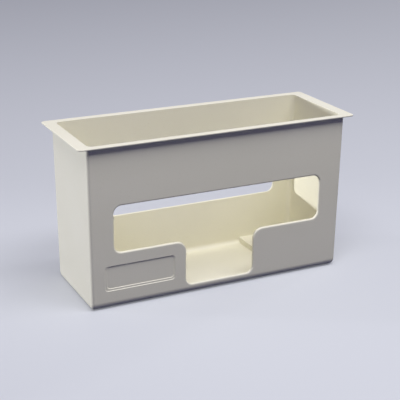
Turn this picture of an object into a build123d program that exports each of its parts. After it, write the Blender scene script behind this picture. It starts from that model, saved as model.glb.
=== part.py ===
"""Bench dispenser for one box of disposable gloves.

One injection moulding in ABS: an open-topped box with drafted walls and a flat rim
all round. The front has a wide window with a finger notch below it, the back has a
window of the same size, and the front also carries a stepped label recess. The
floor is raised at both ends and cored from below, so it keeps one thickness.
Millimetres, +Z up, -Y is the front. The origin is on the standing surface, under
the middle of the rim.
"""
from build123d import *
import os
from math import cos, radians, sin, tan

# ---- driving dimensions ----------------------------------------------------------
height = 156.0                # floor to the top of the rim
body_length = 262.0           # outside the end walls, at the top
body_depth = 93.5             # outside the front and back walls, at the top
wall = 2.8                    # every wall and the floor
end_draft = 0.65              # degrees, end walls
side_draft = 0.5              # degrees, front and back walls
belly_radius = 7.5            # outside, along the bottom of the front and back walls
end_edge_radius = 3.0         # outside, all round each end wall
foot_radius = 5.0             # outside, along the bottom of the end walls
inner_corner_radius = 5.0     # inside, up the four vertical corners
land = 1.0                    # flat that the body stands on, inside its rounded edges

rim_thickness = 1.4
rim_end_overhang = 9.0
rim_front_overhang = 4.0
rim_back_overhang = 4.5
rim_corner_radius = 4.0
rim_edge_radius = 0.5         # outside, above and below
mouth_radius = 0.5            # inside, where the rim turns down into the box
rim_root_radius = 1.0         # between the underside of the rim and the walls

window_width = 213.5          # the same in the front and the back wall
window_height = 44.6
window_sill = 54.2            # height of its lower edge
window_corner_radius = 7.5
notch_width = 70.6            # the finger notch below the front window
notch_land = 0.6              # flat face between the belly and the rounded notch edge
notch_corner_radius = 7.0
shoulder_radius = 10.0        # where the window turns down into the notch
opening_edge_radius = 1.5     # rounding of the openings, outside
opening_inner_radius = 0.8    # rounding of the openings, inside

plinth_spacing = 135.5        # between the two raised ends of the floor
plinth_clearance = 1.0        # from the rounded foot of the walls up to the raised ends
plinth_edge_radius = 1.0
pocket_corner_radius = 3.0    # of the coring under each raised end

label_width = 69.8
label_height = 24.6
label_corner_radius = 3.5
label_center_x = -81.7
label_center_height = 30.1
label_step_depth = 0.4        # each of the two steps of the recess
label_step_inset = 2.1        # between the two steps, at the bottom and the left
label_step_gap = 0.8          # the same at the top and the right

# ---- derived sizes ---------------------------------------------------------------
rim_length = body_length + 2 * rim_end_overhang
rim_depth = body_depth + rim_front_overhang + rim_back_overhang
rim_underside = height - rim_thickness
body_center_y = (rim_front_overhang - rim_back_overhang) / 2
end_lean = height * tan(radians(end_draft))
side_lean = height * tan(radians(side_draft))
window_center = window_sill + window_height / 2
foot_chamfer = foot_radius * (1 - tan(radians(22.5)))
notch_sill = belly_radius + notch_land + opening_edge_radius
plinth_top = belly_radius + plinth_clearance
plinth_center_x = (plinth_spacing + body_length) / 2
pocket_inner_x = plinth_spacing / 2 + wall
pocket_outer_x = body_length / 2 - end_lean - foot_radius - land
pocket_center_x = (pocket_inner_x + pocket_outer_x) / 2
pocket_depth = body_depth - 2 * (side_lean + belly_radius + land)
label_plane = Plane(
    origin=(
        label_center_x,
        body_center_y - body_depth / 2 + side_lean * (height - label_center_height) / height,
        label_center_height,
    ),
    x_dir=(1, 0, 0),
    z_dir=(0, -cos(radians(side_draft)), -sin(radians(side_draft))),
)


def box_with_draft(inset, base, base_radius, end_radius=0):
    """Solid inside the outer walls by `inset`, standing on `base`.

    Its front and back are rounded at the bottom. So are its ends if `end_radius` is given,
    down to a flat at 45 degrees that the rounding of the end walls finishes.
    """
    top_x = body_length / 2 - inset
    top_y = body_depth / 2 - inset
    drop = (height - base) / height
    base_x = top_x - end_lean * drop
    base_y = top_y - side_lean * drop
    with BuildPart() as box:
        with BuildSketch(Plane.YZ) as end_view:
            with BuildLine():
                Polyline(
                    (body_center_y - base_y, base),
                    (body_center_y + base_y, base),
                    (body_center_y + top_y, height),
                    (body_center_y - top_y, height),
                    close=True,
                )
            make_face()
            fillet(end_view.vertices().group_by(Axis.Y)[0], base_radius)
        extrude(amount=body_length, both=True)
        with BuildSketch(Plane.XZ) as side_view:
            with BuildLine():
                Polyline(
                    (-base_x, base),
                    (base_x, base),
                    (top_x, height),
                    (-top_x, height),
                    close=True,
                )
            make_face()
            if end_radius:
                chamfer(side_view.vertices().group_by(Axis.Y)[0], foot_chamfer)
                fillet(side_view.vertices().group_by(Axis.Y)[1], end_radius)
        extrude(amount=body_depth, both=True, mode=Mode.INTERSECT)
    return box


def half_depth(level):
    """Half of the outside depth at a height."""
    return body_depth / 2 - side_lean * (height - level) / height


def is_upright(edge):
    """True for an edge that runs up the height, give or take its draft."""
    return abs(edge.tangent_at(0.5).Z) > 0.9


def is_under_the_walls(edge):
    """True for an edge that lies within the outline of the walls."""
    inside_length = abs(edge.center().X) < body_length / 2
    inside_depth = abs(edge.center().Y - body_center_y) < body_depth / 2
    return inside_length and inside_depth


def is_outside(edge):
    """True for an edge of an opening that lies on the outer half of its wall."""
    reach = abs(edge.center().Y - body_center_y)
    return reach > half_depth(edge.center().Z) - wall / 2


# ---- the forms that the moulding is made of --------------------------------------
outer_form = box_with_draft(0, 0, belly_radius, foot_radius)
inner_form = box_with_draft(wall, wall, belly_radius - wall)

with BuildPart() as rim_form:
    with BuildSketch(Plane.XY.offset(rim_underside)):
        RectangleRounded(rim_length, rim_depth, rim_corner_radius)
    extrude(amount=rim_thickness)
    fillet(rim_form.edges().filter_by(Axis.Z, reverse=True), rim_edge_radius)

with BuildPart() as cavity:
    add(inner_form.part)
    fillet(cavity.edges().filter_by(is_upright), inner_corner_radius)
    with BuildSketch(Plane.XY.offset(wall)):
        with Locations((-plinth_center_x, body_center_y), (plinth_center_x, body_center_y)):
            Rectangle(body_length, body_depth)
    extrude(amount=plinth_top - wall, mode=Mode.SUBTRACT)
    plinth_edges = cavity.edges().filter_by(Axis.Y).filter_by_position(Axis.Z, plinth_top, plinth_top)
    fillet(plinth_edges.filter_by(lambda edge: abs(edge.center().X) < pocket_inner_x), plinth_edge_radius)

with BuildPart() as dispenser_body:
    add(outer_form.part)
    end_walls = dispenser_body.faces().sort_by(Axis.X)
    end_edges = end_walls[0].edges() + end_walls[-1].edges()
    fillet(end_edges.filter_by(lambda edge: edge.center().Z < rim_underside), end_edge_radius)
    add(rim_form.part)
    rim_root = dispenser_body.edges().filter_by_position(Axis.Z, rim_underside, rim_underside)
    fillet(rim_root.filter_by(is_under_the_walls), rim_root_radius)
    add(cavity.part, mode=Mode.SUBTRACT)
    mouth = dispenser_body.faces().sort_by(Axis.Z)[-1].inner_wires()[0]
    fillet(mouth.edges(), mouth_radius)

    # the front window and its finger notch
    with BuildSketch(Plane.XZ.offset(-body_center_y)) as front_opening:
        with Locations((0, window_center)):
            RectangleRounded(window_width, window_height, window_corner_radius)
        with Locations((0, notch_sill)):
            Rectangle(notch_width, window_center - notch_sill, align=(Align.CENTER, Align.MIN))
        notch_corners = front_opening.vertices().filter_by(
            lambda corner: abs(corner.X) < window_width / 2 - window_corner_radius - 0.01
        )
        fillet(notch_corners.group_by(Axis.Y)[1], shoulder_radius)
        fillet(front_opening.vertices().group_by(Axis.Y)[0], notch_corner_radius)
    extrude(amount=body_depth, mode=Mode.SUBTRACT)
    front_rounds = dispenser_body.edges(Select.LAST).filter_by(Axis.Y, reverse=True)

    # the back window
    with BuildSketch(Plane.XZ.offset(-body_center_y)):
        with Locations((0, window_center)):
            RectangleRounded(window_width, window_height, window_corner_radius)
    extrude(amount=-body_depth, mode=Mode.SUBTRACT)
    back_rounds = dispenser_body.edges(Select.LAST).filter_by(Axis.Y, reverse=True)

    for rounds in (front_rounds, back_rounds):
        fillet(rounds.filter_by(is_outside), opening_edge_radius)
        fillet(rounds.filter_by(is_outside, reverse=True), opening_inner_radius)

    # two sloped steps sink the label field into the front face
    for step in range(2):
        shift = step * (label_step_inset - label_step_gap) / 2
        for sink in (0, label_step_depth):
            shrink = step * (label_step_inset + label_step_gap) + 2 * sink
            with BuildSketch(label_plane.offset(-step * label_step_depth - sink)):
                with Locations((shift, shift)):
                    RectangleRounded(label_width - shrink, label_height - shrink, label_corner_radius - sink)
        loft(mode=Mode.SUBTRACT)

    # the coring under the raised ends
    with BuildSketch(Plane.XY):
        with Locations((-pocket_center_x, body_center_y), (pocket_center_x, body_center_y)):
            RectangleRounded(pocket_outer_x - pocket_inner_x, pocket_depth, pocket_corner_radius)
    extrude(amount=plinth_top - wall, mode=Mode.SUBTRACT)

dispenser_body.part.label = "dispenser_body"

os.makedirs("parts", exist_ok=True)
export_step(dispenser_body.part, "parts/dispenser_body.step")
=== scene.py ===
"""Looks of a bench dispenser for one box of disposable gloves.

The dispenser is one injection moulding in ivory ABS, and its shape is complete in the
CAD frame, so this script gives it its plastic and builds the stand, lamps and camera.
Metres, +Z up, -Y is the front, as in the frame.
"""
from math import cos, radians, sin

import bpy
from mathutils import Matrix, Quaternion, Vector


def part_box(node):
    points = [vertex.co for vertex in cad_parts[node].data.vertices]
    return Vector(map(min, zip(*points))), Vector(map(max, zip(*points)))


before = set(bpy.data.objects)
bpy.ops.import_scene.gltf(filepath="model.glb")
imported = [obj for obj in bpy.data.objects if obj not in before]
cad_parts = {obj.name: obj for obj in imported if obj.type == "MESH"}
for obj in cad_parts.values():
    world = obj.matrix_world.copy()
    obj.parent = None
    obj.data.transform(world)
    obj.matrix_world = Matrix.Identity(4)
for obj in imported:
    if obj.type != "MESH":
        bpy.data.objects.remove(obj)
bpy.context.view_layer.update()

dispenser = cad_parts["dispenser_body"]
rim_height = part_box("dispenser_body")[1].z
MM = 0.001


def linear(hex_colour):
    """Linear RGBA of a written sRGB colour, opaque."""
    channels = [int(hex_colour[i:i + 2], 16) / 255 for i in (0, 2, 4)]
    return [c / 12.92 if c <= 0.04045 else ((c + 0.055) / 1.055) ** 2.4 for c in channels] + [1.0]


def add_node(tree, kind, links=None, **settings):
    """Adds one node. `links` maps an input to a value or to the output that feeds it."""
    node = tree.nodes.new(kind)
    for name, value in settings.items():
        setattr(node, name, value)
    for name, value in (links or {}).items():
        if isinstance(value, bpy.types.NodeSocket):
            tree.links.new(value, node.inputs[name])
        else:
            node.inputs[name].default_value = value
    return node


def per_metre(size_mm):
    """Scale of a pattern whose features are this many millimetres across."""
    return 1 / (size_mm * MM)


def shows_background(tree):
    """1 for a ray that shows the surroundings: straight on, in gloss or through glass."""
    rays = add_node(tree, "ShaderNodeLightPath").outputs
    shown = rays["Is Camera Ray"]
    for kind in ("Is Glossy Ray", "Is Transmission Ray"):
        either = add_node(tree, "ShaderNodeMath", {0: shown, 1: rays[kind]}, operation="MAXIMUM")
        shown = either.outputs["Value"]
    return shown


# ---- the plastic -------------------------------------------------------------------
def moulded_ivory_abs():
    """ABS from a spark-eroded mould: opaque warm ivory with a satin surface.

    The eye gets a soft wide gloss, a very fine even grain, and faint clouds where the
    melt flowed. Boxes that slide in and out leave dull streaks on the floor inside.
    """
    material = bpy.data.materials.new("moulded ivory ABS")
    material.use_nodes = True
    tree = material.node_tree
    tree.nodes.clear()
    place = add_node(tree, "ShaderNodeTexCoord").outputs["Object"]
    height = add_node(tree, "ShaderNodeSeparateXYZ", {0: place}).outputs["Z"]

    # flow clouds about 60 mm across, drawn out along the length as the melt ran
    along_the_length = add_node(
        tree, "ShaderNodeMapping", {"Vector": place, "Scale": (0.45, 1.0, 1.0)}
    ).outputs["Vector"]
    clouds = add_node(
        tree, "ShaderNodeTexNoise",
        {"Vector": along_the_length, "Scale": per_metre(60), "Detail": 3.0, "Roughness": 0.45},
    ).outputs["Fac"]
    cloud_share = add_node(
        tree, "ShaderNodeMapRange",
        {"Value": clouds, "From Min": 0.35, "From Max": 0.65},
    ).outputs["Result"]
    cloudy_ivory = add_node(
        tree, "ShaderNodeMix",
        {"Factor": cloud_share, 6: linear("F0ECD3"), 7: linear("F3EFD7")},
        data_type="RGBA",
    ).outputs[2]
    # pigment specks, in life well under a millimetre and drawn at 1.1 mm so that they show
    specks = add_node(
        tree, "ShaderNodeTexNoise",
        {"Vector": place, "Scale": per_metre(1.1), "Detail": 2.0, "Roughness": 0.6},
    ).outputs["Fac"]
    speck_share = add_node(
        tree, "ShaderNodeMapRange",
        {"Value": specks, "From Min": 0.60, "From Max": 0.78, "To Max": 0.45},
    ).outputs["Result"]
    ivory = add_node(
        tree, "ShaderNodeMix",
        {"Factor": speck_share, 6: cloudy_ivory, 7: linear("E4DFC4")},
        data_type="RGBA",
    ).outputs[2]

    # satin gloss, uneven over about 12 mm, duller in streaks on the floor inside
    unevenness = add_node(
        tree, "ShaderNodeTexNoise",
        {"Vector": place, "Scale": per_metre(12), "Detail": 4.0, "Roughness": 0.55},
    ).outputs["Fac"]
    satin = add_node(
        tree, "ShaderNodeMapRange",
        {"Value": unevenness, "From Min": 0.3, "From Max": 0.7, "To Min": 0.40, "To Max": 0.47},
    ).outputs["Result"]
    streak_space = add_node(
        tree, "ShaderNodeMapping", {"Vector": place, "Scale": (0.06, 1.0, 1.0)}
    ).outputs["Vector"]
    streaks = add_node(
        tree, "ShaderNodeTexNoise",
        {"Vector": streak_space, "Scale": per_metre(2.5), "Detail": 2.0, "Roughness": 0.5},
    ).outputs["Fac"]
    streak_share = add_node(
        tree, "ShaderNodeMapRange",
        {"Value": streaks, "From Min": 0.56, "From Max": 0.66, "To Max": 0.14},
    ).outputs["Result"]
    on_the_floor = add_node(
        tree, "ShaderNodeMapRange",
        {"Value": height, "From Min": 12 * MM, "From Max": 9 * MM},
    ).outputs["Result"]
    scuffs = add_node(
        tree, "ShaderNodeMath", {0: streak_share, 1: on_the_floor}, operation="MULTIPLY"
    ).outputs["Value"]
    roughness = add_node(
        tree, "ShaderNodeMath", {0: satin, 1: scuffs}, operation="ADD"
    ).outputs["Value"]

    # the mould's grain is about 0.1 mm; it is drawn at 0.8 mm so that it shows
    grain = add_node(
        tree, "ShaderNodeTexNoise",
        {"Vector": place, "Scale": per_metre(0.8), "Detail": 3.0, "Roughness": 0.6},
    ).outputs["Fac"]
    # the walls are flat to about 0.03 mm over 40 mm
    waves = add_node(
        tree, "ShaderNodeTexNoise",
        {"Vector": place, "Scale": per_metre(40), "Detail": 1.0, "Roughness": 0.3},
    ).outputs["Fac"]
    wavy = add_node(
        tree, "ShaderNodeBump", {"Height": waves, "Distance": 0.08 * MM, "Strength": 1.0}
    ).outputs["Normal"]
    grained = add_node(
        tree, "ShaderNodeBump",
        {"Height": grain, "Distance": 0.06 * MM, "Strength": 0.8, "Normal": wavy},
    ).outputs["Normal"]

    shader = add_node(
        tree, "ShaderNodeBsdfPrincipled",
        {"Base Color": ivory, "Roughness": roughness, "IOR": 1.54, "Normal": grained},
    )
    add_node(tree, "ShaderNodeOutputMaterial", {"Surface": shader.outputs["BSDF"]})
    return material


for slot in dispenser.material_slots:
    slot.material = moulded_ivory_abs()


# ---- the stand: a plain pale floor -------------------------------------------------
def pale_laminate():
    """A matt pale grey board, which throws only a little blue light back on the dispenser."""
    material = bpy.data.materials.new("pale grey laminate")
    material.use_nodes = True
    tree = material.node_tree
    tree.nodes.clear()
    lit = add_node(tree, "ShaderNodeBsdfDiffuse", {"Color": linear("B6B8BA")}).outputs["BSDF"]
    even = add_node(
        tree, "ShaderNodeEmission", {"Color": linear("C9CCD2"), "Strength": 0.33}
    ).outputs["Emission"]
    as_seen = add_node(tree, "ShaderNodeAddShader", {0: lit, 1: even}).outputs["Shader"]
    as_bounce = add_node(tree, "ShaderNodeBsdfDiffuse", {"Color": linear("1E2650")}).outputs["BSDF"]
    board = add_node(
        tree, "ShaderNodeMixShader", {0: shows_background(tree), 1: as_bounce, 2: as_seen}
    ).outputs["Shader"]
    add_node(tree, "ShaderNodeOutputMaterial", {"Surface": board})
    return material


stand_size = 24.0  # runs out of sight on every side
bpy.ops.object.select_all(action="DESELECT")
bpy.ops.mesh.primitive_plane_add(size=stand_size, location=(0, 0, 0))
stand = bpy.context.active_object
stand.name = "floor"
stand.data.materials.append(pale_laminate())

room = bpy.data.worlds.new("studio")
bpy.context.scene.world = room
room.use_nodes = True
room.node_tree.nodes.clear()
walls = add_node(room.node_tree, "ShaderNodeBackground", {"Color": linear("C9CCD2"), "Strength": 1.0})
fill = add_node(room.node_tree, "ShaderNodeBackground", {"Color": linear("C4B8FF"), "Strength": 0.13})
mixed = add_node(
    room.node_tree, "ShaderNodeMixShader",
    {0: shows_background(room.node_tree), 1: fill.outputs["Background"], 2: walls.outputs["Background"]},
)
add_node(room.node_tree, "ShaderNodeOutputWorld", {"Surface": mixed.outputs["Shader"]})


# ---- lamps -------------------------------------------------------------------------
def lamp(name, kind, direction, distance, watts, colour, **settings):
    """A lamp that shines at the middle of the dispenser from a direction."""
    data = bpy.data.lights.new(name, kind)
    data.energy = watts
    data.color = linear(colour)[:3]
    for setting, value in settings.items():
        setattr(data, setting, value)
    holder = bpy.data.objects.new(name, data)
    bpy.context.scene.collection.objects.link(holder)
    towards = Vector(direction).normalized()
    holder.location = Vector((0, 0, rim_height / 2)) + towards * distance
    holder.rotation_euler = towards.to_track_quat("Z", "Y").to_euler()


lamp(
    "softbox above", "AREA", (0.0, -0.39, 0.92), 2.0, 48.0, "F8F8FF",
    shape="RECTANGLE", size=2.4, size_y=1.05,
)
# its narrow cone keeps off the floor near the lamp
lamp(
    "spot from the left", "SPOT", (-0.886, 0.461, 0.037), 3.0, 240.0, "F4F6FF",
    shadow_soft_size=0.065, spot_size=radians(10), spot_blend=0.3,
)
lamp(
    "strip from the right", "AREA", (0.92, 0.30, 0.20), 3.0, 14.0, "FFFFFF",
    shape="RECTANGLE", size=0.3, size_y=0.9,
)

# ---- camera ------------------------------------------------------------------------
camera_data = bpy.data.cameras.new("camera")
camera_data.sensor_width = 36.0
camera_data.lens = 94.78
camera = bpy.data.objects.new("camera", camera_data)
bpy.context.scene.collection.objects.link(camera)
azimuth, elevation, roll = radians(-26.18), radians(19.82), radians(0.45)
aim_point = Vector((0.74, 0.0, 73.84)) * MM
camera_distance = 1.0206
back = Vector((sin(azimuth) * cos(elevation), -cos(azimuth) * cos(elevation), sin(elevation)))
camera.location = aim_point + back * camera_distance
camera.rotation_mode = "QUATERNION"
camera.rotation_quaternion = (-back).to_track_quat("-Z", "Y") @ Quaternion((0, 0, 1), roll)
bpy.context.scene.camera = camera
bpy.context.scene.view_settings.view_transform = "Standard"
